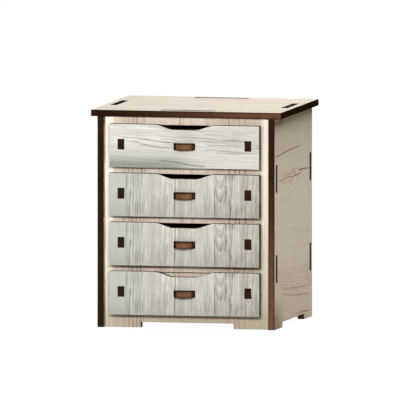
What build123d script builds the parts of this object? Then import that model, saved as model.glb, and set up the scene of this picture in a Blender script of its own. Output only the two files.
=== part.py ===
"""Small tabletop chest of four drawers, slotted together from laser-cut board.

Millimetres, +Z up. The drawers open towards -Y and +X is on the right when they are faced.
The origin lies on the table, under the middle of the closed chest's outer box.
Every piece is a flat board, so each is one outline, given the thickness of the sheet.
"""

import os

from build123d import *

os.makedirs("parts", exist_ok=True)

# ---------------------------------------------------------------------------------------
# Driving dimensions
# ---------------------------------------------------------------------------------------

sheet = 3.0  # thickness of all the board
slot_gap = 0.05  # clearance round a tab, on each side of it

# Openings of the front frame, one above the other
drawer_count = 4
opening_width = 64.0
opening_height = 18.8
rail_lip = 1.0  # a rail hangs this far below the shelf behind it
bottom_lip = 1.5  # the lowest rail hangs this far below the floor board
top_rail = 3.8  # from the highest opening to the top board
stile = 7.0  # from an opening's edge to the side panel

# Depths, from the side panels' front edges backwards
frame_setback = 3.0  # face of the front frame
bay_depth = 69.0  # clear depth between the front frame and the back panel
back_setback = 2.5  # rear face of the back panel, in front of the side panels' rear edges

# Top board
top_side_overhang = 3.0
top_front_overhang = 0.5
top_rear_overhang = 0.5

# Feet: what is left of the panels beside their shallow cut-outs
foot_clearance = 2.5
front_foot_length = 20.1  # along the front and the back, from the outside of the carcass
side_foot_length = 17.3  # along the sides, from a side panel's front or rear edge

# Tabs of the carcass
side_tab_height = 12.6
side_tab_spacing = 42.0
top_tab_length = 25.5
shelf_tab_length = 12.0
shelf_tab_spacing = 36.0
rear_tab_width = 10.0
rear_tab_spacing = 32.0

# Drawer fronts, which stand just clear of the carcass
front_gap = 0.4  # from the side panels' front edges to the back of a drawer front
front_side_lap = 3.5  # a drawer front covers this much beside its opening
front_edge_lap = 0.7  # and this much above and below it
notch_width = 26.2
notch_flat = 12.6
notch_depth = 2.3
notch_round = 8.0

# Drawer boxes
drawer_side_gap = 0.4
drawer_lift_gap = 0.8
drawer_stop_gap = 0.2  # from the box to the back panel, when the drawer is shut
box_tab_height = 4.7
box_tab_drop = 7.1  # from the top of a drawer front to the upper side of its tabs
box_finger_height = 6.0  # at the rear corners
box_floor_tab_length = 12.0
box_floor_tab_spacing = 36.0
box_floor_rear_tab = 20.0

# Pull of each drawer: a half disc on a stem, with shoulders behind the drawer front
pull_radius = 5.0
pull_shoulder = 3.0  # each shoulder's width beside the stem
pull_rear_gap = 0.4  # from the shoulders to the board behind the lowest drawer's front

# Board behind the lowest drawer's front, which fills that drawer's opening
filler_gap = 0.15

# ---------------------------------------------------------------------------------------
# Places that follow from them
# ---------------------------------------------------------------------------------------

opening_pitch = opening_height + rail_lip + sheet
lowest_opening = foot_clearance + bottom_lip + sheet
side_height = lowest_opening + (drawer_count - 1) * opening_pitch + opening_height + top_rail

inner_half = opening_width / 2 + stile  # middle to a side panel's inner face
outer_half = inner_half + sheet
guide_half = opening_width / 2 + sheet  # middle to a guide wall's outer face

frame_rear = frame_setback + sheet
back_front = frame_rear + bay_depth
back_rear = back_front + sheet
side_depth = back_rear + back_setback

front_rear = -front_gap  # depth of a drawer front's rear face
front_face = front_rear - sheet
pull_tip = front_face - pull_radius
pull_rear = frame_setback - pull_rear_gap
chest_rear = side_depth + top_rear_overhang
middle_depth = (pull_tip + chest_rear) / 2

box_half = opening_width / 2 - drawer_side_gap
box_inner_half = box_half - sheet
box_height = opening_height - drawer_lift_gap
box_rear = back_front - drawer_stop_gap
box_back_front = box_rear - sheet
front_height = opening_height + 2 * front_edge_lap
box_tab_top = front_height - front_edge_lap - box_tab_drop
box_tab_low = box_tab_top - box_tab_height


def y_at(depth):
    """Y of what lies this far behind the side panels' front edges."""
    return depth - middle_depth


def pair(spacing, centre=0.0):
    """The two places that lie this far apart, either side of a centre."""
    return (centre - spacing / 2, centre + spacing / 2)


def opening_floor(number):
    """Height of an opening's lower edge; number 1 is the highest."""
    return lowest_opening + (drawer_count - number) * opening_pitch


def facing_plane(depth):
    """Plane for a board that faces the front, laid on the rear face of that board."""
    return Plane.XZ.offset(-y_at(depth))


def patch(left, right, low, high, mode=Mode.ADD):
    """Rectangle between these limits, in the open sketch."""
    with Locations(((left + right) / 2, (low + high) / 2)):
        Rectangle(right - left, high - low, mode=mode)


def slot(left, right, low, high):
    """Slot in the open sketch for a tab between these limits."""
    patch(left - slot_gap, right + slot_gap, low - slot_gap, high + slot_gap, Mode.SUBTRACT)


def save(piece, label):
    """Name the piece and write its file."""
    piece.part.label = label
    export_step(piece.part, f"parts/{label}.step")


# ---------------------------------------------------------------------------------------
# Carcass
# ---------------------------------------------------------------------------------------

side_middle = y_at(side_depth / 2)
bay_middle = y_at(frame_rear + bay_depth / 2)
side_tab_centres = pair(side_tab_spacing, side_height / 2)


def side_panel(low_x):
    """Side of the carcass, from its foot cut-out to the tab that enters the top board."""
    with BuildPart() as panel:
        with BuildSketch(Plane.YZ.offset(low_x)):
            patch(y_at(0), y_at(side_depth), 0, side_height)
            patch(*pair(top_tab_length, side_middle), side_height, side_height + sheet)
            patch(
                y_at(side_foot_length),
                y_at(side_depth - side_foot_length),
                0,
                foot_clearance,
                Mode.SUBTRACT,
            )
            for depth in (frame_setback, back_front):
                for centre in side_tab_centres:
                    slot(y_at(depth), y_at(depth + sheet), *pair(side_tab_height, centre))
        extrude(amount=sheet)
    return panel


def facing_outline():
    """Outline that the front frame and the back panel share, in the open sketch."""
    patch(-inner_half, inner_half, 0, side_height)
    patch(*pair(top_tab_length), side_height, side_height + sheet)
    for centre in side_tab_centres:
        patch(-outer_half, outer_half, *pair(side_tab_height, centre))
    foot_end = outer_half - front_foot_length
    patch(-foot_end, foot_end, 0, foot_clearance, Mode.SUBTRACT)


with BuildPart() as front_frame:
    with BuildSketch(facing_plane(frame_rear)):
        facing_outline()
        for number in range(1, drawer_count + 1):
            floor = opening_floor(number)
            patch(
                -opening_width / 2,
                opening_width / 2,
                floor,
                floor + opening_height,
                Mode.SUBTRACT,
            )
    extrude(amount=sheet)

with BuildPart() as back_panel:
    with BuildSketch(facing_plane(back_rear)):
        facing_outline()
        for number in range(1, drawer_count + 1):
            floor = opening_floor(number)
            for centre in pair(rear_tab_spacing):
                slot(*pair(rear_tab_width, centre), floor - sheet, floor)
    extrude(amount=sheet)

with BuildPart() as top_panel:
    with BuildSketch(Plane.XY.offset(side_height)):
        top_half = outer_half + top_side_overhang
        patch(-top_half, top_half, y_at(-top_front_overhang), y_at(chest_rear))
        for depth in (frame_setback, back_front):
            slot(*pair(top_tab_length), y_at(depth), y_at(depth + sheet))
        for low_x in (-outer_half, inner_half):
            slot(low_x, low_x + sheet, *pair(top_tab_length, side_middle))
    extrude(amount=sheet)


def deck_outline(half_width):
    """Floor or shelf between the front frame and the back panel, with its rear tabs."""
    patch(-half_width, half_width, y_at(frame_rear), y_at(back_front))
    for centre in pair(rear_tab_spacing):
        patch(*pair(rear_tab_width, centre), y_at(back_front), y_at(back_rear))


with BuildPart() as bottom_panel:
    with BuildSketch(Plane.XY.offset(lowest_opening - sheet)):
        deck_outline(inner_half)
        for low_x in (-guide_half, opening_width / 2):
            for centre in pair(shelf_tab_spacing, bay_middle):
                slot(low_x, low_x + sheet, *pair(shelf_tab_length, centre))
    extrude(amount=sheet)


def shelf_board(number):
    """Shelf that carries the drawer of this number, with tabs into both guide walls."""
    with BuildPart() as shelf:
        with BuildSketch(Plane.XY.offset(opening_floor(number) - sheet)):
            deck_outline(opening_width / 2)
            for centre in pair(shelf_tab_spacing, bay_middle):
                patch(-guide_half, guide_half, *pair(shelf_tab_length, centre))
        extrude(amount=sheet)
    return shelf


def guide_wall(low_x):
    """Wall beside the drawers, which stands on the floor board and holds the shelves."""
    with BuildPart() as wall:
        with BuildSketch(Plane.YZ.offset(low_x)):
            patch(y_at(frame_rear), y_at(back_front), lowest_opening, side_height)
            for centre in pair(shelf_tab_spacing, bay_middle):
                ends = pair(shelf_tab_length, centre)
                patch(*ends, lowest_opening - sheet, lowest_opening)
                for number in range(1, drawer_count):
                    slot(*ends, opening_floor(number) - sheet, opening_floor(number))
        extrude(amount=sheet)
    return wall


save(side_panel(-outer_half), "left_side_panel")
save(side_panel(inner_half), "right_side_panel")
save(front_frame, "front_frame")
save(back_panel, "back_panel")
save(top_panel, "top_panel")
save(bottom_panel, "bottom_panel")
save(guide_wall(-guide_half), "left_guide_wall")
save(guide_wall(opening_width / 2), "right_guide_wall")
for number in range(1, drawer_count):
    save(shelf_board(number), f"shelf_{number}")

# ---------------------------------------------------------------------------------------
# Drawers
# ---------------------------------------------------------------------------------------


def box_tabs(low_x, floor):
    """Limits of the tab that a drawer's side or filler has at this X and this floor."""
    return (low_x, low_x + sheet, floor + box_tab_low, floor + box_tab_top)


def drawer_front(floor):
    """Front board: a finger notch in its top edge, slots for the sides and the pull."""
    half = opening_width / 2 + front_side_lap
    low = floor - front_edge_lap
    top = low + front_height
    middle = low + front_height / 2
    with BuildPart() as front:
        with BuildSketch(facing_plane(front_rear)):
            with BuildLine():
                upper_edge = FilletPolyline(
                    (-half, top),
                    (-notch_width / 2, top),
                    (-notch_flat / 2, top - notch_depth),
                    (notch_flat / 2, top - notch_depth),
                    (notch_width / 2, top),
                    (half, top),
                    radius=notch_round,
                )
                Polyline(upper_edge @ 1, (half, low), (-half, low), upper_edge @ 0)
            make_face()
            for low_x in (-box_half, box_inner_half):
                slot(*box_tabs(low_x, floor))
            slot(-pull_radius, pull_radius, *pair(sheet, middle))
        extrude(amount=sheet)
    return front


def drawer_side(low_x, floor, has_filler):
    """Side board: a tab through the front, fingers at the rear, notches for the floor."""
    with BuildPart() as side:
        with BuildSketch(Plane.YZ.offset(low_x)):
            patch(y_at(front_rear), y_at(box_rear), floor, floor + box_height)
            tab_heights = (floor + box_tab_low, floor + box_tab_top)
            patch(y_at(front_face), y_at(front_rear), *tab_heights)
            finger = pair(box_finger_height, floor + box_height / 2)
            slot(y_at(box_back_front), y_at(box_rear), *finger)
            for centre in pair(box_floor_tab_spacing, bay_middle):
                slot(*pair(box_floor_tab_length, centre), floor, floor + sheet)
            if has_filler:
                slot(y_at(frame_setback), y_at(frame_rear), *tab_heights)
        extrude(amount=sheet)
    return side


def drawer_floor(floor):
    """Floor board between the sides, with tabs into them and one into the back."""
    with BuildPart() as base:
        with BuildSketch(Plane.XY.offset(floor)):
            patch(-box_inner_half, box_inner_half, y_at(front_rear), y_at(box_back_front))
            for centre in pair(box_floor_tab_spacing, bay_middle):
                patch(-box_half, box_half, *pair(box_floor_tab_length, centre))
            patch(*pair(box_floor_rear_tab), y_at(box_back_front), y_at(box_rear))
        extrude(amount=sheet)
    return base


def drawer_back(floor):
    """Back board between the sides, with one finger into each of them."""
    with BuildPart() as back:
        with BuildSketch(facing_plane(box_rear)):
            patch(-box_inner_half, box_inner_half, floor, floor + box_height)
            patch(-box_half, box_half, *pair(box_finger_height, floor + box_height / 2))
            slot(*pair(box_floor_rear_tab), floor, floor + sheet)
        extrude(amount=sheet)
    return back


def drawer_pull(floor):
    """Pull: a half disc before the front, its stem in the slot and shoulders behind."""
    middle = floor - front_edge_lap + front_height / 2
    with BuildPart() as pull:
        with BuildSketch(Plane.XY.offset(middle - sheet / 2)):
            with BuildLine():
                rim = CenterArc((0, y_at(front_face)), pull_radius, 180, 180)
                Line(rim @ 1, rim @ 0)
            make_face()
            patch(-pull_radius, pull_radius, y_at(front_face), y_at(front_rear))
            shoulder_half = pull_radius + pull_shoulder
            patch(-shoulder_half, shoulder_half, y_at(front_rear), y_at(pull_rear))
        extrude(amount=sheet)
    return pull


def drawer_filler(floor):
    """Board across the lowest drawer, level with the front frame when that is shut."""
    with BuildPart() as filler:
        with BuildSketch(facing_plane(frame_rear)):
            top = floor + opening_height - filler_gap
            patch(-box_inner_half, box_inner_half, floor + sheet, top)
            patch(-box_half, box_half, floor + box_tab_low, floor + box_tab_top)
        extrude(amount=sheet)
    return filler


for number in range(1, drawer_count + 1):
    floor = opening_floor(number)
    is_lowest = number == drawer_count
    save(drawer_front(floor), f"drawer_{number}_front")
    save(drawer_side(-box_half, floor, is_lowest), f"drawer_{number}_left_side")
    save(drawer_side(box_inner_half, floor, is_lowest), f"drawer_{number}_right_side")
    save(drawer_floor(floor), f"drawer_{number}_floor")
    save(drawer_back(floor), f"drawer_{number}_back")
    save(drawer_pull(floor), f"drawer_{number}_pull")
    if is_lowest:
        save(drawer_filler(floor), f"drawer_{number}_inner_front")
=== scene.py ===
"""Finishes and studio for a small drawer cabinet slotted together from printed board.

The boards come as they are from the packed model, in metres. Here they get softened edges, printed
wood grain on their faces and burnt brown cut edges, and stand on a pale floor in studio light.

Patterns count in millimetres of the cabinet's frame. The depth of a print is how dark its ink lies
at a spot: 0 is the bare wash and 1 the darkest line.
"""

import functools
import math

import bpy
from bpy.props import FloatProperty, FloatVectorProperty, PointerProperty
from bpy.types import Operator, Panel, PropertyGroup
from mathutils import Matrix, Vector


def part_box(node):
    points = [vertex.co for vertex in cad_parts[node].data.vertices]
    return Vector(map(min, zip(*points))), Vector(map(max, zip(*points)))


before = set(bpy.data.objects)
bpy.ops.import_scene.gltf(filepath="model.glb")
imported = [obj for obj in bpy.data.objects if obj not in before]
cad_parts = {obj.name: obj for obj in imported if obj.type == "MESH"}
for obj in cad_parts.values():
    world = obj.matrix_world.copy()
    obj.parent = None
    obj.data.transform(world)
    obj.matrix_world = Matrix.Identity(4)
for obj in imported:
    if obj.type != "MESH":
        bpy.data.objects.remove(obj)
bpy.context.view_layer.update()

bl_info = {
    "name": "Drawer cabinet finishes",
    "version": (1, 0, 0),
    "blender": (4, 5, 0),
    "location": "View3D > Sidebar > Cabinet",
    "description": "Printed and burnt board finishes for a slotted drawer cabinet, and its studio",
    "category": "Material",
}

MM = 0.001  # metres in a millimetre
X, Y, Z = 0, 1, 2
WHITE = (1.0, 1.0, 1.0)

FRAME_PRINT = ("front_frame", "drawer_4_inner_front")
SIDES = ("left_side_panel", "right_side_panel")
PRINTED = (*FRAME_PRINT, *SIDES, "back_panel", "top_panel")
DRAWERS = (1, 2, 3, 4)

HALF_BOARD = 1.5  # millimetres from the middle of a board to its faces
BAY_MARGIN = 0.5  # millimetres under a drawer piece that still count as its own bay

FACE_ROUGHNESS = 0.6
BARE_ROUGHNESS = 0.75
EDGE_ROUGHNESS = 0.85

# Least light of the cut edges of each kind of board, from 0, charred, to 1, brown
FRAME_EDGE = 0.05
BACK_EDGE = 0.07
SIDE_EDGE = 0.05
TOP_EDGE = 0.03
DRAWER_EDGE = 0.02
INSIDE_EDGE = 0.04

PULL_SMOKE = 0.8  # how far the pulls' faces go from bare board to char

# Modifiers on every board: corners closer than this are one, faces that meet flatter than the
# first angle are one, and edges sharper than the second are rounded
JOIN_DISTANCE = 0.001 * MM
FLAT_ANGLE = math.radians(0.5)
SHARP_ANGLE = math.radians(40.0)
ROUNDING_STEPS = 2

# Camera, floor and lamps, in metres
CAMERA_DISTANCE = 0.8
CAMERA_CLIP = (0.01, 20.0)
FLOOR_HALF = 4.0
FLOOR_GREY = (0.62, 0.62, 0.62)
FLOOR_GLOW = 0.91  # share of glow in what is seen of the floor; the rest keeps the shadow
NEAR_GLOW = 1.06
FAR_GLOW = 1.11
GLOW_REACH = (0.1, 0.5)  # distances from the middle between which the glow goes near to far
LAMPS_AIM = (0.0, 0.0, 0.055)

# Each lamp's name, place, width and height, and the studio value that holds its power
LAMPS = (
    ("key_lamp", (0.1, -0.775, 0.215), (0.36, 0.09), "key_power"),
    ("top_lamp", (0.18, 0.04, 0.62), (0.3, 0.3), "top_power"),
    ("back_lamp", (-0.42, 0.58, 0.25), (0.4, 0.4), "back_power"),
)


def paint(red, green, blue):
    """Linear colour of a display colour given as 0 to 255, as the colour properties hold it."""
    return tuple(
        level / 12.92 if level <= 0.04045 else ((level + 0.055) / 1.055) ** 2.4
        for level in (red / 255, green / 255, blue / 255)
    )


# ---------------------------------------------------------------------------------------
# Sizes and colours that a user would change
# ---------------------------------------------------------------------------------------


def ink(name, description, default):
    """Colour property whose default is given as display levels, 0 to 255."""
    return FloatVectorProperty(
        name=name,
        description=description,
        default=paint(*default),
        subtype="COLOR",
        min=0.0,
        max=1.0,
    )


class CarcassPrint(PropertyGroup):
    """Whitewashed cream wood, printed on the carcass boards."""

    wash: ink("Wash", "Lightest part of the cream print", (251, 246, 235))
    body: ink("Body", "Common colour of the cream print", (238, 227, 211))
    shade: ink("Shade", "Darker streaks of the cream print", (211, 193, 176))
    line: ink("Line", "Thin dark lines of the cream print", (132, 108, 90))
    # Besides any soil, this tint lays painted shade: under the top, low down and to the right on
    # the frame, on its rails, and at the front of the sides' foot
    dark_tint: ink("Soil", "Tint of handled and worn parts of the cream print", (193, 188, 176))
    aged: ink("Aged", "Tint over the cream print on the sides", (254, 249, 241))


class DrawerPrint(PropertyGroup):
    """Weathered grey wood, printed on the drawer fronts."""

    wash: ink("Wash", "Lightest part of the grey print", (243, 242, 236))
    body: ink("Body", "Common colour of the grey print", (198, 196, 188))
    shade: ink("Shade", "Darker streaks of the grey print", (160, 157, 145))
    line: ink("Line", "Thin dark lines of the grey print", (100, 96, 86))
    warm: ink("Warm", "Tint over the grey print on the right", (252, 250, 243))
    cool: ink("Cool", "Tint over the grey print on the left", (249, 254, 255))
    # This tint lays painted shade along the drawer fronts' lower edges and in the top drawer's
    # lower left corner
    dark_tint: ink("Soil", "Tint over the grey print at lower edges", (188, 186, 181))


class BurntEdge(PropertyGroup):
    """Cut edges, charred by the laser."""

    char: ink("Char", "Darkest part of a cut edge", (33, 20, 10))
    brown: ink("Brown", "Least burnt part of a cut edge", (143, 98, 73))
    ochre: ink("Ochre", "Patches of the pulls' cut edges", (132, 99, 70))
    softening: FloatProperty(
        name="Softening",
        description="Width of the rounding along every cut edge",
        default=0.12 * MM,
        min=0.0,
        unit="LENGTH",
    )


class BareBoard(PropertyGroup):
    """Plain pressed board, inside the cabinet and on the pulls."""

    body: ink("Body", "Common colour of the bare board", (156, 120, 86))
    fleck: ink("Fleck", "Dark fibres of the bare board", (104, 74, 50))


class Studio(PropertyGroup):
    """Camera and light."""

    turn: FloatProperty(
        name="Turn",
        description="How far the camera stands round to the right of the front",
        default=math.radians(12.49),
        subtype="ANGLE",
    )
    rise: FloatProperty(
        name="Rise",
        description="How far the camera looks down",
        default=math.radians(4.765),
        subtype="ANGLE",
    )
    view_width: FloatProperty(
        name="View width",
        description="Width that the picture takes in",
        default=0.1852,
        unit="LENGTH",
    )
    aim_x: FloatProperty(
        name="Aim across",
        description="Middle of the picture, along X",
        default=-0.0014,
        unit="LENGTH",
    )
    aim_z: FloatProperty(
        name="Aim height",
        description="Middle of the picture, above the floor",
        default=0.0568,
        unit="LENGTH",
    )
    key_power: FloatProperty(
        name="Key power",
        description="Power of the lamp before the front, in watts",
        default=5.2,
        min=0.0,
    )
    top_power: FloatProperty(
        name="Top power",
        description="Power of the lamp above the right side, in watts",
        default=2.1,
        min=0.0,
    )
    back_power: FloatProperty(
        name="Back power",
        description="Power of the lamp behind on the left, in watts",
        default=2.6,
        min=0.0,
    )
    sky: FloatProperty(
        name="Sky",
        description="Strength of the even light from all round",
        default=0.16,
        min=0.0,
    )


# ---------------------------------------------------------------------------------------
# Patterns written as formulas
# ---------------------------------------------------------------------------------------

NOISE_SPREAD = 3.0  # stretches the noise, which stays near its middle, to about -1 to 1
SHARP_SHARE = 0.2  # share of a line's half width that is fully dark
STROKE_WOBBLE = 0.16
LEAST_SWELL = 0.45  # depth left in a stroke's faintest stretches
STROKE_START = 0.18  # share of a stroke's length over which it fades in
STROKE_END = 0.8  # share of its length from which it fades out


def feed(tree, sockets, values):
    """Put each value into its socket: a field or output by a link, a number or colour as it is."""
    for socket, value in zip(sockets, values):
        if isinstance(value, Field):
            value = value.socket
        if isinstance(value, bpy.types.NodeSocket):
            tree.links.new(value, socket)
        elif isinstance(value, (int, float)):
            socket.default_value = value
        else:
            socket.default_value = (*value, 1.0)


class Field:
    """A number that varies over a surface, carried by one output of its nodes."""

    def __init__(self, tree, socket):
        self.tree = tree
        self.socket = socket

    def math(self, operation, *others):
        """This field and the others through one Math node."""
        node = self.tree.nodes.new("ShaderNodeMath")
        node.operation = operation
        feed(self.tree, node.inputs, (self, *others))
        return Field(self.tree, node.outputs[0])

    def __add__(self, other):
        return self.math("ADD", other)

    def __sub__(self, other):
        return self.math("SUBTRACT", other)

    def __rsub__(self, other):
        return self.times_plus(-1.0, other)

    def __mul__(self, other):
        return self.math("MULTIPLY", other)

    def __truediv__(self, other):
        return self.math("DIVIDE", other)

    def __abs__(self):
        return self.math("ABSOLUTE")

    __rmul__ = __mul__

    def times_plus(self, factor, shift):
        return self.math("MULTIPLY_ADD", factor, shift)

    def at_least(self, other):
        return self.math("MAXIMUM", other)

    def step(self, low, high, first, last):
        """First below low and last above high, with a smooth step between them."""
        node = self.tree.nodes.new("ShaderNodeMapRange")
        node.interpolation_type = "SMOOTHSTEP"
        feed(self.tree, node.inputs, (self, low, high, first, last))
        return Field(self.tree, node.outputs[0])

    def rise(self, low, high):
        """0 below low and 1 above high."""
        return self.step(low, high, 0.0, 1.0)

    def fall(self, low, high):
        """1 below low and 0 above high."""
        return self.step(low, high, 1.0, 0.0)


def split(tree, socket):
    """The three parts of a vector, as fields."""
    node = tree.nodes.new("ShaderNodeSeparateXYZ")
    tree.links.new(socket, node.inputs[0])
    return [Field(tree, output) for output in node.outputs]


def noise(u, v, size, seed, detail=3.0, roughness=0.5):
    """Cloudy noise over two coordinates, about -1 to 1.

    size is how wide a cloud is along u and along v. The seed picks the clouds, and may itself be a
    field, as a third coordinate.
    """
    tree = u.tree
    place = tree.nodes.new("ShaderNodeCombineXYZ")
    feed(tree, place.inputs, (u / size[0], v / size[1], seed))
    cloud = tree.nodes.new("ShaderNodeTexNoise")
    cloud.inputs["Scale"].default_value = 1.0
    cloud.inputs["Detail"].default_value = detail
    cloud.inputs["Roughness"].default_value = roughness
    tree.links.new(place.outputs[0], cloud.inputs["Vector"])
    return (Field(tree, cloud.outputs[0]) - 0.5) * NOISE_SPREAD


def line(offset, half_width):
    """1 on a line and 0 beyond half_width of it; offset is the distance from the line."""
    return abs(offset).fall(half_width * SHARP_SHARE, half_width)


def strokes(u, v, seed, table):
    """Depth of single drawn lines that run along u.

    Each row holds the stroke's first u and v, its last u and v, how far its middle bows out in v,
    its half width and its depth, which is below 0 for a light stroke. Along a stroke, with t from
    0 to 1, v goes straight from end to end, plus the bow times 4 t (1 - t). Strokes wobble a
    little, swell and fade at their ends, and add up where they cross.
    """
    wobbly = v + noise(u, v, (5.0, 6.0), seed, detail=2.0) * STROKE_WOBBLE
    swell = noise(u, v, (4.0, 1.2), seed + 0.7, detail=2.0).rise(-1.2, 0.6)
    total = 0.0
    for first_u, first_v, last_u, last_v, bow, half_width, depth in table:
        length = last_u - first_u
        slope = (last_v - first_v) / length
        t = u.times_plus(1.0 / length, -first_u / length)
        offset = u.times_plus(-slope, wobbly) - (first_v - first_u * slope)
        if bow:
            offset = (1.0 - t) * t * (-4.0 * bow) + offset
        ends = t.rise(0.0, STROKE_START) * t.fall(STROKE_END, 1.0)
        total = (line(offset, half_width) * ends).times_plus(depth, total)
    return total * swell.times_plus(1.0 - LEAST_SWELL, LEAST_SWELL)


def rules(along, across, seed, table):
    """Depth of lines that run the whole length: each has its place, half width and depth.

    Each fades in and out along its way by its own noise. Where two meet, the deeper one holds.
    """

    def rule(index, place, half_width, depth):
        fade = noise(along, seed + index * 2.3, (8.0, 1.0), seed=0.5, detail=2.0)
        return line(across - place, half_width) * fade.rise(-1.0, 0.2) * depth

    return functools.reduce(Field.at_least, (rule(n, *row) for n, row in enumerate(table)))


def veins(u, v, size, seed, half_width):
    """Thin lines that wander, part and close round lenses: slow noise where it crosses zero."""
    return line(noise(u, v, size, seed, detail=1.5), half_width)


def grain(along, across, seed, fibre_length=14.0, fibre_width=0.55):
    """Fine wood grain about 0: broad tones, streaks, fibres and short pores, added up.

    Each is noise drawn out along the grain, with its clouds' width and length in millimetres.
    """
    tones = noise(across, along, (4.5, 60.0), seed + 3.1, detail=2.0)
    streak = (fibre_width * 2.2, fibre_length * 3.0)
    streaks = noise(across, along, streak, seed + 5.2, detail=1.0)
    fibre = (fibre_width, fibre_length)
    fibres = noise(across, along, fibre, seed + 7.7, detail=2.0, roughness=0.6)
    pores = noise(across, along, (0.3, 3.0), seed + 12.3, detail=1.0)
    return tones * 0.06 + streaks * 0.08 + fibres * 0.12 + pores * 0.06


def bend(along, across, seed, reach):
    """The across coordinate bent by slow noise, up to about this reach."""
    return across + noise(along, across, (30.0, 18.0), seed, detail=2.0) * reach


# ---------------------------------------------------------------------------------------
# A board and its material
# ---------------------------------------------------------------------------------------

PRINT_STOPS = (0.0, 0.3, 0.6, 1.0)  # depths at which the wash, body, shade and line inks are pure
ON_FACE = (0.94, 0.99)  # the normal's part through the board: less on edges, more on faces
FRONTWARD = (-0.9, -0.5)  # the normal's part along Y: less on what faces the front, more elsewhere
RIM = (HALF_BOARD * 0.3, HALF_BOARD * 1.05)  # where an edge darkens, off the board's middle
RIM_LIGHT = 0.25  # light left at the rims of an edge
RELIEF = 0.4
RELIEF_HEIGHT = 0.05 * MM
PRINT_RELIEF = -0.7  # dark grain lies lower, beside cut marks of 1


class Board:
    """Coordinates over a board, in millimetres in the cabinet's frame, and the material on it."""

    def __init__(self, name, thin, middle=None):
        """thin is the axis, X, Y or Z, along which the board has its thickness.

        middle, if given, is how far the middle of the thickness lies from the origin, on either
        side of it: cut edges are then darker towards the board's faces.
        """
        self.material = bpy.data.materials.new(name)
        self.material.use_nodes = True
        self.tree = self.material.node_tree
        self.shader = self.tree.nodes["Principled BSDF"]
        coordinates = self.tree.nodes.new("ShaderNodeTexCoord")
        place = [axis / MM for axis in split(self.tree, coordinates.outputs["Object"])]
        self.x, self.y, self.z = place
        self.through = place[thin]
        self.flat = [place[axis] for axis in (X, Y, Z) if axis != thin]
        normal = split(self.tree, coordinates.outputs["Normal"])
        self.on_face = abs(normal[thin]).rise(*ON_FACE)
        self.frontward = normal[Y].fall(*FRONTWARD)
        self.core = 1.0
        if middle is not None:
            self.darken_rims(abs(self.through) - abs(middle))

    def darken_rims(self, off_middle):
        """Darken cut edges towards the board's faces; off_middle runs through its thickness."""
        self.core = abs(off_middle).fall(*RIM) * (1.0 - RIM_LIGHT) + RIM_LIGHT

    def blend(self, factor, first, second, how="MIX"):
        """Colour that goes from first to second as the factor goes from 0 to 1."""
        node = self.tree.nodes.new("ShaderNodeMix")
        node.data_type = "RGBA"
        node.blend_type = how
        # Its sockets for colours come after those for numbers and vectors
        sockets = (node.inputs[0], node.inputs[6], node.inputs[7])
        feed(self.tree, sockets, (factor, first, second))
        return node.outputs[2]

    def tint(self, factor, colour, over):
        """The colour multiplied by another, as far as the factor goes from 0 to 1."""
        return self.blend(factor, colour, over, "MULTIPLY")

    def printed(self, depth, inks):
        """Colour of a print where its grain is this deep."""
        ramp = self.tree.nodes.new("ShaderNodeValToRGB")
        stops = ramp.color_ramp.elements
        while len(stops) < len(PRINT_STOPS):
            stops.new(0.5)
        colours = (inks.wash, inks.body, inks.shade, inks.line)
        for stop, place, colour in zip(stops, PRINT_STOPS, colours):
            stop.position = place
            stop.color = (*colour, 1.0)
        self.tree.links.new(depth.socket, ramp.inputs[0])
        return ramp.outputs[0]

    def bare(self):
        """Colour and depth of pressed board: a felt of short fibres, with soft clouds under it."""
        board = bpy.context.scene.bare_board
        felt = noise(*self.flat, (0.5, 0.5), seed=3.0, detail=4.0, roughness=0.7)
        clouds = noise(*self.flat, (9.0, 9.0), seed=8.0, detail=2.0)
        depth = (felt * 0.42 + clouds * 0.2 + 0.35).at_least(0.0)
        return self.blend(depth, board.body, board.fleck), depth

    def cut_marks(self):
        """Striations of a laser cut, about 0: fine along the edge, drawn out through the board."""
        first, second = self.flat
        across = (first + second, first - second)
        fine = noise(*across, (0.6, 0.6), self.through / 9.0, detail=2.0)
        broad = noise(*across, (5.0, 5.0), self.through / 6.0)
        return fine * 0.6 + broad * 0.5

    def finish(self, face, depth, edge_light, face_roughness, brown=None):
        """Join the colour and depth of the faces to burnt edges.

        edge_light goes from 0, charred, to 1, brown, which may be another colour than the usual.
        """
        burnt = bpy.context.scene.burnt_edge
        if brown is None:
            brown = burnt.brown
        marks = self.cut_marks()
        tone = edge_light * (marks * 0.45 + 1.0) * self.core + marks * 0.03
        edge = self.blend(tone.at_least(0.0), burnt.char, brown)
        roughness = self.on_face * (face_roughness - EDGE_ROUGHNESS) + EDGE_ROUGHNESS
        relief = self.tree.nodes.new("ShaderNodeBump")
        relief.inputs["Strength"].default_value = RELIEF
        relief.inputs["Distance"].default_value = RELIEF_HEIGHT
        height = self.on_face * (depth * PRINT_RELIEF) + (1.0 - self.on_face) * marks
        self.tree.links.new(height.socket, relief.inputs["Height"])
        looks = {
            "Base Color": self.blend(self.on_face, edge, face),
            "Roughness": roughness,
            "Specular IOR Level": 0.0,
            "Normal": relief.outputs[0],
        }
        feed(self.tree, [self.shader.inputs[name] for name in looks], looks.values())
        return self.material


# ---------------------------------------------------------------------------------------
# Prints
# ---------------------------------------------------------------------------------------

# Depth of each print between its fibres
CREAM_DEPTH = 0.27
TOP_DEPTH = 0.286
PLANK_DEPTH = 0.37
WAVE_DEPTH = 0.28

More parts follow.
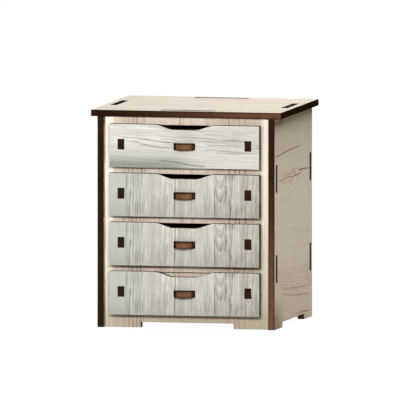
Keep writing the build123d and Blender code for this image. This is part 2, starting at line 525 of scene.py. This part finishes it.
# Upright lines of the cream grain on the front frame: place across, half width, depth
FRAME_RULES = (
    (-37.0, 0.5, 0.12),
    (-30.2, 0.35, 0.22),
    (-27.7, 0.4, 0.27),
    (-25.8, 0.4, 0.34),
    (-23.9, 0.45, 0.3),
    (-22.0, 0.4, 0.38),
    (-20.6, 0.4, 0.27),
    (-13.0, 0.4, 0.2),
    (-3.5, 0.4, 0.36),
    (-2.1, 0.3, 0.25),
    (2.2, 0.3, 0.25),
    (9.5, 0.35, 0.22),
    (19.7, 0.4, 0.36),
    (22.6, 0.35, 0.48),
    (24.5, 0.35, 0.48),
    (27.3, 0.35, 0.3),
    (36.3, 0.45, 0.18),
    (38.0, 0.35, 0.14),
)
FRAME_BAND = (-24.5, 6.5, 0.08)  # a broad darker band of the frame, in the same order

# The next three tables hold rows as the strokes function describes them

# A side board: u is Y and v is Z
SIDE_STROKES = (
    (-42.0, 79.9, 26.0, 81.6, 0.3, 0.4, 0.78),
    (-28.0, 68.0, -10.0, 68.5, 0.3, 0.45, 0.53),
    (-13.0, 71.2, -4.5, 69.6, 0.0, 0.7, 0.28),
    (-12.0, 68.9, 3.0, 68.5, 0.0, 0.5, 0.45),
    (0.0, 67.9, 21.0, 68.6, 0.2, 0.5, 0.56),
    (-7.0, 70.0, 6.0, 69.7, 0.0, 0.6, 0.28),
    (13.0, 70.4, 39.5, 69.6, 0.1, 0.5, 0.75),
    (-22.0, 66.6, 4.0, 66.4, 0.3, 0.7, 0.22),
    (-4.0, 71.2, 16.0, 71.0, 0.3, 0.7, 0.25),
    (-24.0, 18.6, 44.0, 15.3, -0.9, 0.45, 0.43),
    (-26.0, 16.2, 42.0, 11.6, -1.1, 0.45, 0.5),
    (8.0, 3.9, 46.0, 3.0, 0.2, 0.5, 0.56),
    # The last, broad stroke under the top at the front is painted shadow of the top's overhang
    (-46.0, 95.4, -14.0, 94.6, 0.3, 1.8, 0.38),
)

# An upright-grained drawer front: u is height over its lower edge and v is X
PLANK_STROKES = (
    (20.8, -27.5, 8.0, -27.9, 0.2, 0.35, 0.3),
    (12.0, -27.9, -0.8, -28.0, 0.0, 0.35, 0.16),
    (21.0, -25.2, 8.0, -25.7, 0.0, 0.35, 0.34),
    (13.0, -25.6, -1.0, -26.3, 0.0, 0.38, 0.42),
    (21.0, -24.1, 2.0, -24.4, 0.0, 0.35, 0.24),
    (21.0, -23.2, -1.0, -23.3, 0.0, 0.3, 0.16),
    (21.0, -22.1, 11.0, -22.2, 0.0, 0.38, 0.28),
    (21.0, -20.0, 12.0, -20.1, 0.0, 0.4, 0.24),
    (18.0, -21.1, 0.0, -21.3, 0.0, 0.35, 0.16),
    (7.5, -22.2, -0.2, -22.2, 0.0, 0.4, 0.45),
    (7.0, -23.4, -0.2, -23.4, 0.0, 0.38, 0.24),
    (6.8, -20.0, 0.6, -20.0, 0.0, 0.45, 0.32),
    (7.5, -12.2, -0.2, -12.2, 0.0, 0.8, 0.1),
    (11.0, -8.3, 3.0, -8.1, 0.0, 0.8, 0.16),
    (21.0, -4.4, 8.0, -4.5, 0.0, 0.4, 0.42),
    (10.5, -4.5, -1.5, -4.7, 0.0, 0.38, 0.62),
    (19.0, 3.4, -0.5, 3.2, 0.0, 0.3, 0.22),
    (19.0, 13.6, 11.0, 14.3, 0.2, 0.35, 0.12),
    (14.0, 14.3, -1.5, 14.4, 0.0, 0.4, 0.5),
    (21.5, 19.8, 16.5, 19.7, 0.0, 0.4, 0.36),
    (15.6, 19.8, 10.8, 19.9, 0.0, 0.45, 0.3),
    (13.4, 19.7, 6.6, 19.1, 0.0, 0.5, 0.36),
    (21.5, 22.9, 16.6, 22.9, 0.0, 0.38, 0.5),
    (17.0, 22.8, 9.0, 22.6, 0.0, 0.4, 0.2),
    (9.0, 21.4, 3.4, 21.5, 0.0, 0.4, 0.36),
    (6.8, 22.5, -0.4, 21.3, 0.0, 0.45, 0.36),
    (5.5, 24.7, -0.5, 24.4, 0.0, 0.45, 0.2),
    (21.0, -3.6, 8.0, -3.6, 0.0, 0.45, -0.12),
    (19.0, 25.9, 3.0, 26.0, 0.0, 0.45, -0.12),
    (9.0, 27.9, -1.0, 27.9, 0.0, 0.5, -0.14),
    (8.0, 20.5, 2.0, 20.3, 0.0, 0.5, -0.1),
    (7.5, 23.4, 0.0, 22.4, 0.0, 0.5, -0.1),
)

# The top drawer's front: u is X and v is height over its lower edge
WAVE_STROKES = (
    (-37.0, 17.1, -10.0, 16.9, 0.4, 0.3, 0.2),
    (-37.0, 16.1, -13.0, 16.0, 0.2, 0.3, 0.23),
    (-37.0, 15.1, -17.0, 14.8, 0.3, 0.3, 0.25),
    (-30.5, 14.0, -15.0, 12.8, 0.4, 0.35, 0.28),
    (-22.5, 13.5, -4.0, 11.9, -0.35, 0.35, 0.28),
    (-31.0, 12.9, -14.5, 10.2, 0.1, 0.3, 0.21),
    (-22.0, 11.1, -4.6, 9.4, -0.3, 0.35, 0.33),
    (-12.5, 13.4, -3.0, 13.0, 0.1, 0.35, 0.3),
    (-13.0, 12.3, -2.0, 11.7, 0.0, 0.35, 0.33),
    (-13.0, 3.3, 2.5, 1.8, 0.35, 0.4, 0.51),
    (-1.0, 2.1, 11.0, 0.9, -0.1, 0.35, 0.49),
    (-5.0, 14.8, 17.5, 13.7, 0.0, 0.35, 0.28),
    (8.0, 15.7, 20.0, 15.6, 0.2, 0.3, 0.23),
    (16.0, 13.6, 29.5, 13.0, 0.1, 0.35, 0.3),
    (18.5, 11.5, 29.5, 11.3, 0.0, 0.3, 0.28),
    (8.0, 11.3, 29.6, 10.2, 0.1, 0.4, 0.36),
    (8.5, 9.3, 36.8, 7.2, -0.3, 0.35, 0.34),
    (13.5, 7.5, 28.5, 6.7, 0.0, 0.35, 0.38),
    (31.0, 11.1, 38.5, 11.0, 0.0, 0.35, 0.28),
    (31.0, 9.9, 38.5, 9.6, 0.0, 0.35, 0.31),
    (-2.0, 17.6, 24.0, 17.0, 0.3, 0.3, 0.16),
    (0.0, 13.2, 24.0, 12.2, -0.3, 0.3, 0.21),
)

KNOT_Y, KNOT_Z = 13.0, 41.0  # middle of the ovals on a side board
KNOT_STRETCH = 1.9  # how much longer than high the ovals are
CRACKS_Z = 69.0  # height of the cracks on a side board
CONTOURS_Y = 40.0  # where the contours over a side board's foot are lowest
CONTOURS_REACH = 53.0  # distance from there at which they are higher by the next value
CONTOURS_RISE = 2.5

BOWLS_X = 16.9  # middle of the nested bowls on the drawer fronts
BOWLS_HALF_WIDTH = 3.6
BOWLS = ((19.1, 0.08), (13.4, 0.16), (7.1, 0.2))  # height and depth of each bowl's bottom
UNDER_BOWL = 0.07  # how much lighter the print is just under a bowl


def upright_cream(board, seed):
    """Plain cream print whose grain stands upright, and the bent X that it follows."""
    across = bend(board.z, board.x, seed, reach=0.7)
    return grain(board.z, across, seed) + CREAM_DEPTH, across


def frame_cream(board, rails, stiles):
    """Upright cream print of the frame: drawn lines, painted shade on rails, painted light on
    stiles.
    """
    seed = 1.0
    depth, across = upright_cream(board, seed)
    place, half_width, deep = FRAME_BAND
    drawn = line(across - place, half_width) * deep + rules(board.z, across, seed, FRAME_RULES)
    # Painted shade of the rails recessed behind the drawers, deeper to the right and fading out low
    # down
    rail_painted_shade = board.z.rise(5.0, 20.0) * rails * (board.x.rise(0.0, 34.0) * 0.12 + 0.14)
    # Painted light that lifts the stiles in their recess beside the side panels
    stile_painted_light = stiles * board.z.rise(5.0, 60.0) * 0.16
    return depth + drawn + rail_painted_shade - stile_painted_light


def level_cream(along, across, seed, contrast, depth=CREAM_DEPTH):
    """Cream print whose grain lies level, on the top board and the sides."""
    bent = bend(along, across, seed, reach=1.6)
    thin_veins = veins(along, bent, (45.0, 2.6), seed + 5.0, half_width=0.13)
    return (grain(along, bent, seed) + thin_veins * 0.08) * contrast + depth


def knot_rings(along, across):
    """Nested ovals round a knot: the sine of the bent distance from it, open to the front."""
    off_y = (along - KNOT_Y) / KNOT_STRETCH
    off_z = across - KNOT_Z
    distance = (off_y * off_y + off_z * off_z).math("SQRT")
    distance = distance + noise(along, across, (6.0, 4.0), seed=15.0) * 0.7
    rings = (distance * 3.3).math("SINE").rise(0.3, 1.0) * distance.fall(4.0, 9.0)
    return rings * along.rise(KNOT_Y - 9.0, KNOT_Y + 3.0)


def foot_contours(along, height):
    """Level lines over the foot that rise towards the front: the sine of a bent height."""
    off_rear = (along - CONTOURS_Y) / CONTOURS_REACH
    level = height - off_rear * off_rear * CONTOURS_RISE
    level = level + noise(along, height, (14.0, 5.0), seed=27.0) * 0.35
    present = noise(along, level, (12.0, 1.3), seed=29.0).rise(-1.0, 0.5)
    contours = (level * 4.9).math("SINE").rise(0.1, 1.0) * present
    return contours * level.rise(12.0, 15.5) * level.fall(19.0, 31.0)


def crack_smudges(along, height):
    """Short dark smudges round the cracks, in the middle of the side."""
    smudges = noise(along, height, (5.0, 1.1), seed=31.0).rise(-0.2, 0.8)
    smudges = smudges * line(height - CRACKS_Z, 5.0)
    return smudges * along.rise(-30.0, -20.0) * along.fall(20.0, 30.0)


def side_cream(board):
    """Level cream print of a side: cracks, a nest of ovals, and contours towards the foot."""
    along, height = board.y, board.z
    across = height + along * height.fall(40.0, 70.0) * 0.07
    hatch = noise(along, across, (8.0, 0.55), seed=2.0, detail=1.0)
    depth = level_cream(along, across, 21.0, contrast=0.7)
    depth = depth + knot_rings(along, across) * 0.12 + hatch * 0.03
    depth = depth + foot_contours(along, height) * 0.28 + crack_smudges(along, height) * 0.4
    return depth + strokes(along, height, 4.0, SIDE_STROKES)


def nested_bowls(board, height):
    """Bowls one in the other, on a curve that steepens away from their middle."""
    off_middle = board.x - BOWLS_X
    squared = off_middle * off_middle
    wander = noise(board.x, height, (2.5, 4.0), seed=2.0, detail=2.0)
    level = height - squared * (squared * 0.1 + 0.5) + wander * 0.3

    def bowl(bottom, deep):
        """Darkens down towards the bowl's edge, with a light band under it."""
        above = level - bottom
        dark = above.rise(-0.2, 0.5) * above.fall(0.3, 4.5)
        light = above.rise(-1.9, -0.9) * above.fall(-0.7, 0.0)
        return dark * deep - light * UNDER_BOWL

    within = line(off_middle, BOWLS_HALF_WIDTH).rise(0.0, 0.5)
    return functools.reduce(Field.__add__, (bowl(*row) for row in BOWLS)) * within


def plank_grey(board, height):
    """Upright grey planks: seams, a nest of bowls and denser grain beyond them."""
    seed = 40.0
    across = bend(height, board.x, seed, reach=0.35)
    smooth_left = across.rise(-29.0, -26.5) * 0.8 + 0.2
    lively_right = across.rise(17.0, 26.0) * 0.3 + 1.55
    fibres = grain(height, across, seed, fibre_length=11.0) * (smooth_left * lively_right)
    blots = noise(board.x, height, (4.0, 6.0), seed=44.0) * 0.05
    bowls = nested_bowls(board, height)
    dense = board.x.rise(20.0, 26.0) * 0.09 + board.x.rise(18.0, 24.0) * blots * 1.5
    drawn = strokes(height, board.x, 51.0, PLANK_STROKES)
    return fibres + PLANK_DEPTH + blots + bowls + dense + drawn


def wavy_grey(board, height):
    """Level grey grain of the top drawer, whose lines fan and wave above a plain lower half."""
    sloping = height + board.x * 0.045
    across = bend(board.x, sloping, 6.0, reach=1.1)
    depth = grain(board.x, across, 63.0, fibre_length=16.0) * 0.7 + WAVE_DEPTH
    upper_left = board.x.fall(-30.0, 8.0) * height.rise(6.0, 13.0)
    fans = veins(board.x, across, (24.0, 0.9), 71.0, half_width=0.22) * height.rise(5.0, 9.0)
    present = noise(board.x, across, (12.0, 2.5), seed=77.0, detail=1.0).rise(-0.9, 0.6)
    drawn = strokes(board.x, height, 83.0, WAVE_STROKES)
    return depth - upper_left * 0.11 + fans * 0.16 * present + drawn


# ---------------------------------------------------------------------------------------
# Finishes
# ---------------------------------------------------------------------------------------


def dress(nodes, material):
    """Give boards their material, and round their cut edges a little."""
    softening = bpy.context.scene.burnt_edge.softening
    for name in nodes:
        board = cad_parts[name]
        board.data.materials.clear()
        board.data.materials.append(material)
        join = board.modifiers.new("Join corners", "WELD")
        join.merge_threshold = JOIN_DISTANCE
        flat = board.modifiers.new("Join flat faces", "DECIMATE")
        flat.decimate_type = "DISSOLVE"
        flat.angle_limit = FLAT_ANGLE
        rounding = board.modifiers.new("Soften edges", "BEVEL")
        rounding.width = softening
        rounding.segments = ROUNDING_STEPS
        rounding.limit_method = "ANGLE"
        rounding.angle_limit = SHARP_ANGLE


def middle_of(node, axis):
    """Middle of a board along an axis, in millimetres."""
    low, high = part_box(node)
    return (low[axis] + high[axis]) / 2 / MM


def foot_of(node):
    """Height of a piece's lower edge, in millimetres."""
    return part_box(node)[0].z / MM


def thin_axis(node):
    """The axis along which a board has its thickness."""
    low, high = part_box(node)
    size = high - low
    return min((X, Y, Z), key=lambda axis: size[axis])


def height_in_bay(board, part):
    """Height over the lower edge of this part of whichever drawer is at this level.

    The drawers stand at an even pitch, so it is what is left of the height over the lowest
    drawer's part after whole pitches.
    """
    low = foot_of(f"drawer_4_{part}")
    pitch = foot_of(f"drawer_3_{part}") - low
    return ((board.z - low + BAY_MARGIN) / pitch).math("FRACT") * pitch - BAY_MARGIN


def print_frame(inks):
    """Front frame, and the strip of the same print behind the lowest drawer's front."""
    board = Board("frame_print", Y, middle_of("drawer_4_inner_front", Y))
    stiles = abs(board.x).rise(34.5, 36.0)
    rails = 1.0 - stiles
    depth = frame_cream(board, rails, stiles)
    # Painted shade, with some soil low down: darker towards the bottom and the right, as the key
    # lamp's light falls off, and on the rails recessed behind the drawers
    low_shade_and_soil = board.z.fall(0.0, 75.0) * 0.4 + board.z.fall(4.0, 12.0) * 0.3
    darkening = low_shade_and_soil + board.x.rise(-42.0, 42.0) * 0.24 + rails * 0.15
    colour = board.tint(darkening, board.printed(depth, inks), inks.dark_tint)
    dress(FRAME_PRINT, board.finish(colour, depth, FRAME_EDGE, FACE_ROUGHNESS))


def print_back(inks):
    """Back panel: plain upright grain, soiled towards the foot."""
    board = Board("back_print", Y, middle_of("back_panel", Y))
    depth, _ = upright_cream(board, 80.0)
    darkening = board.z.fall(0.0, 60.0) * 0.3
    colour = board.tint(darkening, board.printed(depth, inks), inks.dark_tint)
    dress(("back_panel",), board.finish(colour, depth, BACK_EDGE, FACE_ROUGHNESS))


def print_sides(inks):
    """Sides: painted shadow under the top and painted shade at the foot's front; right front edge
    brown.
    """
    board = Board("side_print", X, middle_of("right_side_panel", X))
    depth = side_cream(board)
    # Painted shadow of the top's overhang, deepest just under it; apart from that, darker towards
    # the foot
    shadow_under_top = board.z.rise(62.0, 98.0) * 0.4 + board.z.rise(93.0, 98.0)
    darkening = board.z.fall(0.0, 40.0) * 0.3 + shadow_under_top
    colour = board.tint(darkening, board.printed(depth, inks), inks.dark_tint)
    colour = board.tint(1.0, colour, inks.aged)
    # Painted shade at the front of the foot, and more painted shadow just under the top
    front_foot_shade = board.y.fall(-40.0, -7.0) * board.z.fall(-4.0, 19.0) * 1.6
    shadow_near_top = board.z.rise(90.0, 97.5) * 0.7
    colour = board.tint(front_foot_shade + shadow_near_top, colour, inks.dark_tint)
    lower_right = board.z.fall(-10.0, 82.0) * board.x.rise(0.0, 1.0)
    edge_light = board.frontward * lower_right * 0.52 + SIDE_EDGE
    dress(SIDES, board.finish(colour, depth, edge_light, FACE_ROUGHNESS))


def print_top(inks):
    """Top board; its front edge gets browner to the right."""
    board = Board("top_print", Z, middle_of("top_panel", Z))
    depth = level_cream(board.x, board.y, 33.0, contrast=1.8, depth=TOP_DEPTH)
    edge_light = board.frontward * board.x.rise(-38.0, 60.0) * 0.44 + TOP_EDGE
    colour = board.printed(depth, inks)
    dress(("top_panel",), board.finish(colour, depth, edge_light, FACE_ROUGHNESS))


class CABINET_OT_print_carcass(Operator):
    """Print cream grain on the carcass boards"""

    bl_idname = "cabinet.print_carcass"
    bl_label = "Print carcass"

    def execute(self, context):
        inks = context.scene.carcass_print
        print_frame(inks)
        print_back(inks)
        print_sides(inks)
        print_top(inks)
        return {"FINISHED"}


def print_planks(inks):
    """The three lower drawer fronts: cooler on the left, warmer on the right, with painted shade
    low down.
    """
    board = Board("plank_print", Y, middle_of("drawer_4_front", Y))
    height = height_in_bay(board, "front")
    # Painted light: the lower drawers print a little lighter, making up for the key lamp's fall-off
    depth = plank_grey(board, height) - board.z.fall(5.0, 32.0) * 0.02
    colour = board.printed(depth, inks)
    colour = board.tint(board.x.rise(14.0, 30.0) * 0.5, colour, inks.warm)
    colour = board.tint(board.x.fall(-31.0, -20.0) * 0.8, colour, inks.cool)
    # Painted shade along each front's lower edge, deeper to the right
    darkening = height.fall(-2.0, 14.0) * (board.x.rise(-12.0, 34.0) * 0.15 + 0.36)
    colour = board.tint(darkening, colour, inks.dark_tint)
    nodes = [f"drawer_{number}_front" for number in DRAWERS[1:]]
    dress(nodes, board.finish(colour, depth, DRAWER_EDGE, FACE_ROUGHNESS))


def print_waves(inks):
    """The top drawer's front, with cool grey painted shade in its lower left corner and along its
    lower edge.
    """
    board = Board("wavy_print", Y, middle_of("drawer_1_front", Y))
    height = board.z - foot_of("drawer_1_front")
    depth = wavy_grey(board, height)
    # Painted shade: the lower left corner goes cooler and darker, and the lower edge a little
    # darker
    lower_left = height.fall(-2.0, 9.5) * board.x.fall(-12.0, 12.0)
    colour = board.tint(lower_left * 1.4, board.printed(depth, inks), inks.cool)
    darkening = lower_left * 1.3 + height.fall(-2.0, 5.0) * 0.15
    colour = board.tint(darkening, colour, inks.dark_tint)
    dress(("drawer_1_front",), board.finish(colour, depth, DRAWER_EDGE, FACE_ROUGHNESS))


class CABINET_OT_print_drawers(Operator):
    """Print grey grain on the drawer fronts"""

    bl_idname = "cabinet.print_drawers"
    bl_label = "Print drawer fronts"

    def execute(self, context):
        inks = context.scene.drawer_print
        print_planks(inks)
        print_waves(inks)
        return {"FINISHED"}


class CABINET_OT_finish_pulls(Operator):
    """Give the pulls their smoked board and patchy brown edges"""

    bl_idname = "cabinet.finish_pulls"
    bl_label = "Finish pulls"

    def execute(self, context):
        burnt = context.scene.burnt_edge
        board = Board("pull_board", Z)
        board.darken_rims(height_in_bay(board, "pull") - HALF_BOARD)
        bare, depth = board.bare()
        smoked = board.blend(PULL_SMOKE, bare, burnt.char)
        patches = noise(board.x, board.z, (2.5, 2.5), seed=90.0, detail=2.0).rise(-0.6, 0.6)
        browns = board.blend(patches, burnt.brown, burnt.ochre)
        # Painted shade: the rim darkens to char at its left end, and partly at its right end, where
        # it turns away from the light, over the burnt brown
        right_end = board.x.fall(3.7, 4.3) * 0.46 + 0.16
        edge_light = board.x.rise(-3.6, -2.7) * right_end
        material = board.finish(smoked, depth, edge_light, BARE_ROUGHNESS, browns)
        dress([f"drawer_{number}_pull" for number in DRAWERS], material)
        return {"FINISHED"}


class CABINET_OT_finish_inside(Operator):
    """Give the boards inside the cabinet their bare faces and burnt edges"""

    bl_idname = "cabinet.finish_inside"
    bl_label = "Finish inside"

    def execute(self, context):
        done = set(PRINTED)
        done.update(f"drawer_{number}_{part}" for number in DRAWERS for part in ("front", "pull"))
        left = sorted(set(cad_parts) - done)
        for axis, letter in ((X, "x"), (Y, "y"), (Z, "z")):
            board = Board(f"bare_board_{letter}", axis)
            bare, depth = board.bare()
            material = board.finish(bare, depth, INSIDE_EDGE, BARE_ROUGHNESS)
            dress([name for name in left if thin_axis(name) == axis], material)
        return {"FINISHED"}


# ---------------------------------------------------------------------------------------
# Studio
# ---------------------------------------------------------------------------------------


def add_lamp(name, place, size, power):
    """Soft lamp of this width and height at a place, turned to the cabinet; metres and watts."""
    lamp = bpy.data.lights.new(name, "AREA")
    lamp.shape = "RECTANGLE"
    lamp.size, lamp.size_y = size
    lamp.energy = power
    holder = bpy.data.objects.new(name, lamp)
    holder.location = place
    towards = Vector(LAMPS_AIM) - Vector(place)
    holder.rotation_euler = towards.to_track_quat("-Z", "Y").to_euler()
    bpy.context.scene.collection.objects.link(holder)


def set_camera(scene, studio):
    """Camera without perspective, turned to the right of the front and looking down a little."""
    level = math.cos(studio.rise)
    back = Vector(
        (math.sin(studio.turn) * level, -math.cos(studio.turn) * level, math.sin(studio.rise))
    )
    lens = bpy.data.cameras.new("camera")
    lens.type = "ORTHO"
    lens.ortho_scale = studio.view_width
    lens.clip_start, lens.clip_end = CAMERA_CLIP
    camera = bpy.data.objects.new("camera", lens)
    camera.location = Vector((studio.aim_x, 0.0, studio.aim_z)) + back * CAMERA_DISTANCE
    camera.rotation_euler = (-back).to_track_quat("-Z", "Y").to_euler()
    scene.collection.objects.link(camera)
    scene.camera = camera


def seen_directly(tree):
    """Field that is 1 for what the camera sees, straight or in a gloss or through glass."""
    path = tree.nodes.new("ShaderNodeLightPath")
    kinds = ("Is Camera Ray", "Is Glossy Ray", "Is Transmission Ray")
    return functools.reduce(Field.at_least, (Field(tree, path.outputs[kind]) for kind in kinds))


def mix_shaders(tree, factor, first, second, output):
    """Lead two shaders to the output: the first where the factor is 0, the second where it is 1."""
    mix = tree.nodes.new("ShaderNodeMixShader")
    feed(tree, mix.inputs, (factor, first.outputs[0], second.outputs[0]))
    tree.links.new(mix.outputs[0], tree.nodes[output].inputs["Surface"])


def set_floor(scene):
    """Pale floor that is seen as almost white, and keeps the object's shadow."""
    mesh = bpy.data.meshes.new("floor")
    half = FLOOR_HALF
    corners = [(-half, -half, 0.0), (half, -half, 0.0), (half, half, 0.0), (-half, half, 0.0)]
    mesh.from_pydata(corners, [], [(0, 1, 2, 3)])
    floor = bpy.data.objects.new("floor", mesh)
    scene.collection.objects.link(floor)

    paper = bpy.data.materials.new("floor_paper")
    paper.use_nodes = True
    tree = paper.node_tree
    diffuse = tree.nodes["Principled BSDF"]
    diffuse.inputs["Base Color"].default_value = (*FLOOR_GREY, 1.0)
    diffuse.inputs["Roughness"].default_value = 1.0
    diffuse.inputs["Specular IOR Level"].default_value = 0.0
    glow = tree.nodes.new("ShaderNodeEmission")
    coordinates = tree.nodes.new("ShaderNodeTexCoord")
    away_x, away_y, _ = split(tree, coordinates.outputs["Object"])
    far = (away_x * away_x + away_y * away_y).math("SQRT").rise(*GLOW_REACH)
    strength = far.times_plus(FAR_GLOW - NEAR_GLOW, NEAR_GLOW)
    tree.links.new(strength.socket, glow.inputs["Strength"])
    mix_shaders(tree, seen_directly(tree) * FLOOR_GLOW, diffuse, glow, "Material Output")
    mesh.materials.append(paper)


def set_sky(scene, studio):
    """Even light from all round, seen as plain white."""
    world = bpy.data.worlds.new("studio_sky")
    scene.world = world
    world.use_nodes = True
    tree = world.node_tree
    sky = tree.nodes["Background"]
    plain = tree.nodes.new("ShaderNodeBackground")
    for background, strength in ((sky, studio.sky), (plain, 1.0)):
        background.inputs["Color"].default_value = (*WHITE, 1.0)
        background.inputs["Strength"].default_value = strength
    mix_shaders(tree, seen_directly(tree), sky, plain, "World Output")


class CABINET_OT_set_stage(Operator):
    """Set up the floor, the lamps and the camera"""

    bl_idname = "cabinet.set_stage"
    bl_label = "Set stage"

    def execute(self, context):
        scene = context.scene
        studio = scene.studio
        scene.view_settings.view_transform = "Standard"
        set_camera(scene, studio)
        set_floor(scene)
        set_sky(scene, studio)
        for name, place, size, power in LAMPS:
            add_lamp(name, place, size, getattr(studio, power))
        return {"FINISHED"}


# ---------------------------------------------------------------------------------------
# Panel, registration and the run
# ---------------------------------------------------------------------------------------

OPERATORS = (
    CABINET_OT_set_stage,
    CABINET_OT_print_carcass,
    CABINET_OT_print_drawers,
    CABINET_OT_finish_pulls,
    CABINET_OT_finish_inside,
)
SETTINGS = {
    "carcass_print": CarcassPrint,
    "drawer_print": DrawerPrint,
    "burnt_edge": BurntEdge,
    "bare_board": BareBoard,
    "studio": Studio,
}


class CABINET_PT_finishes(Panel):
    """Finishes and studio of the cabinet"""

    bl_label = "Cabinet"
    bl_space_type = "VIEW_3D"
    bl_region_type = "UI"
    bl_category = "Cabinet"

    def draw(self, context):
        for operator in OPERATORS:
            self.layout.operator(operator.bl_idname)
        for name, group in SETTINGS.items():
            box = self.layout.box()
            box.label(text=group.__doc__)
            for key in group.__annotations__:
                box.prop(getattr(context.scene, name), key)


def register():
    for name, group in SETTINGS.items():
        bpy.utils.register_class(group)
        setattr(bpy.types.Scene, name, PointerProperty(type=group))
    for item in (*OPERATORS, CABINET_PT_finishes):
        bpy.utils.register_class(item)


def unregister():
    for item in (CABINET_PT_finishes, *reversed(OPERATORS)):
        bpy.utils.unregister_class(item)
    for name, group in SETTINGS.items():
        delattr(bpy.types.Scene, name)
        bpy.utils.unregister_class(group)


def main():
    register()
    bpy.ops.cabinet.set_stage()
    bpy.ops.cabinet.print_carcass()
    bpy.ops.cabinet.print_drawers()
    bpy.ops.cabinet.finish_pulls()
    bpy.ops.cabinet.finish_inside()


if __name__ == "__main__":
    main()
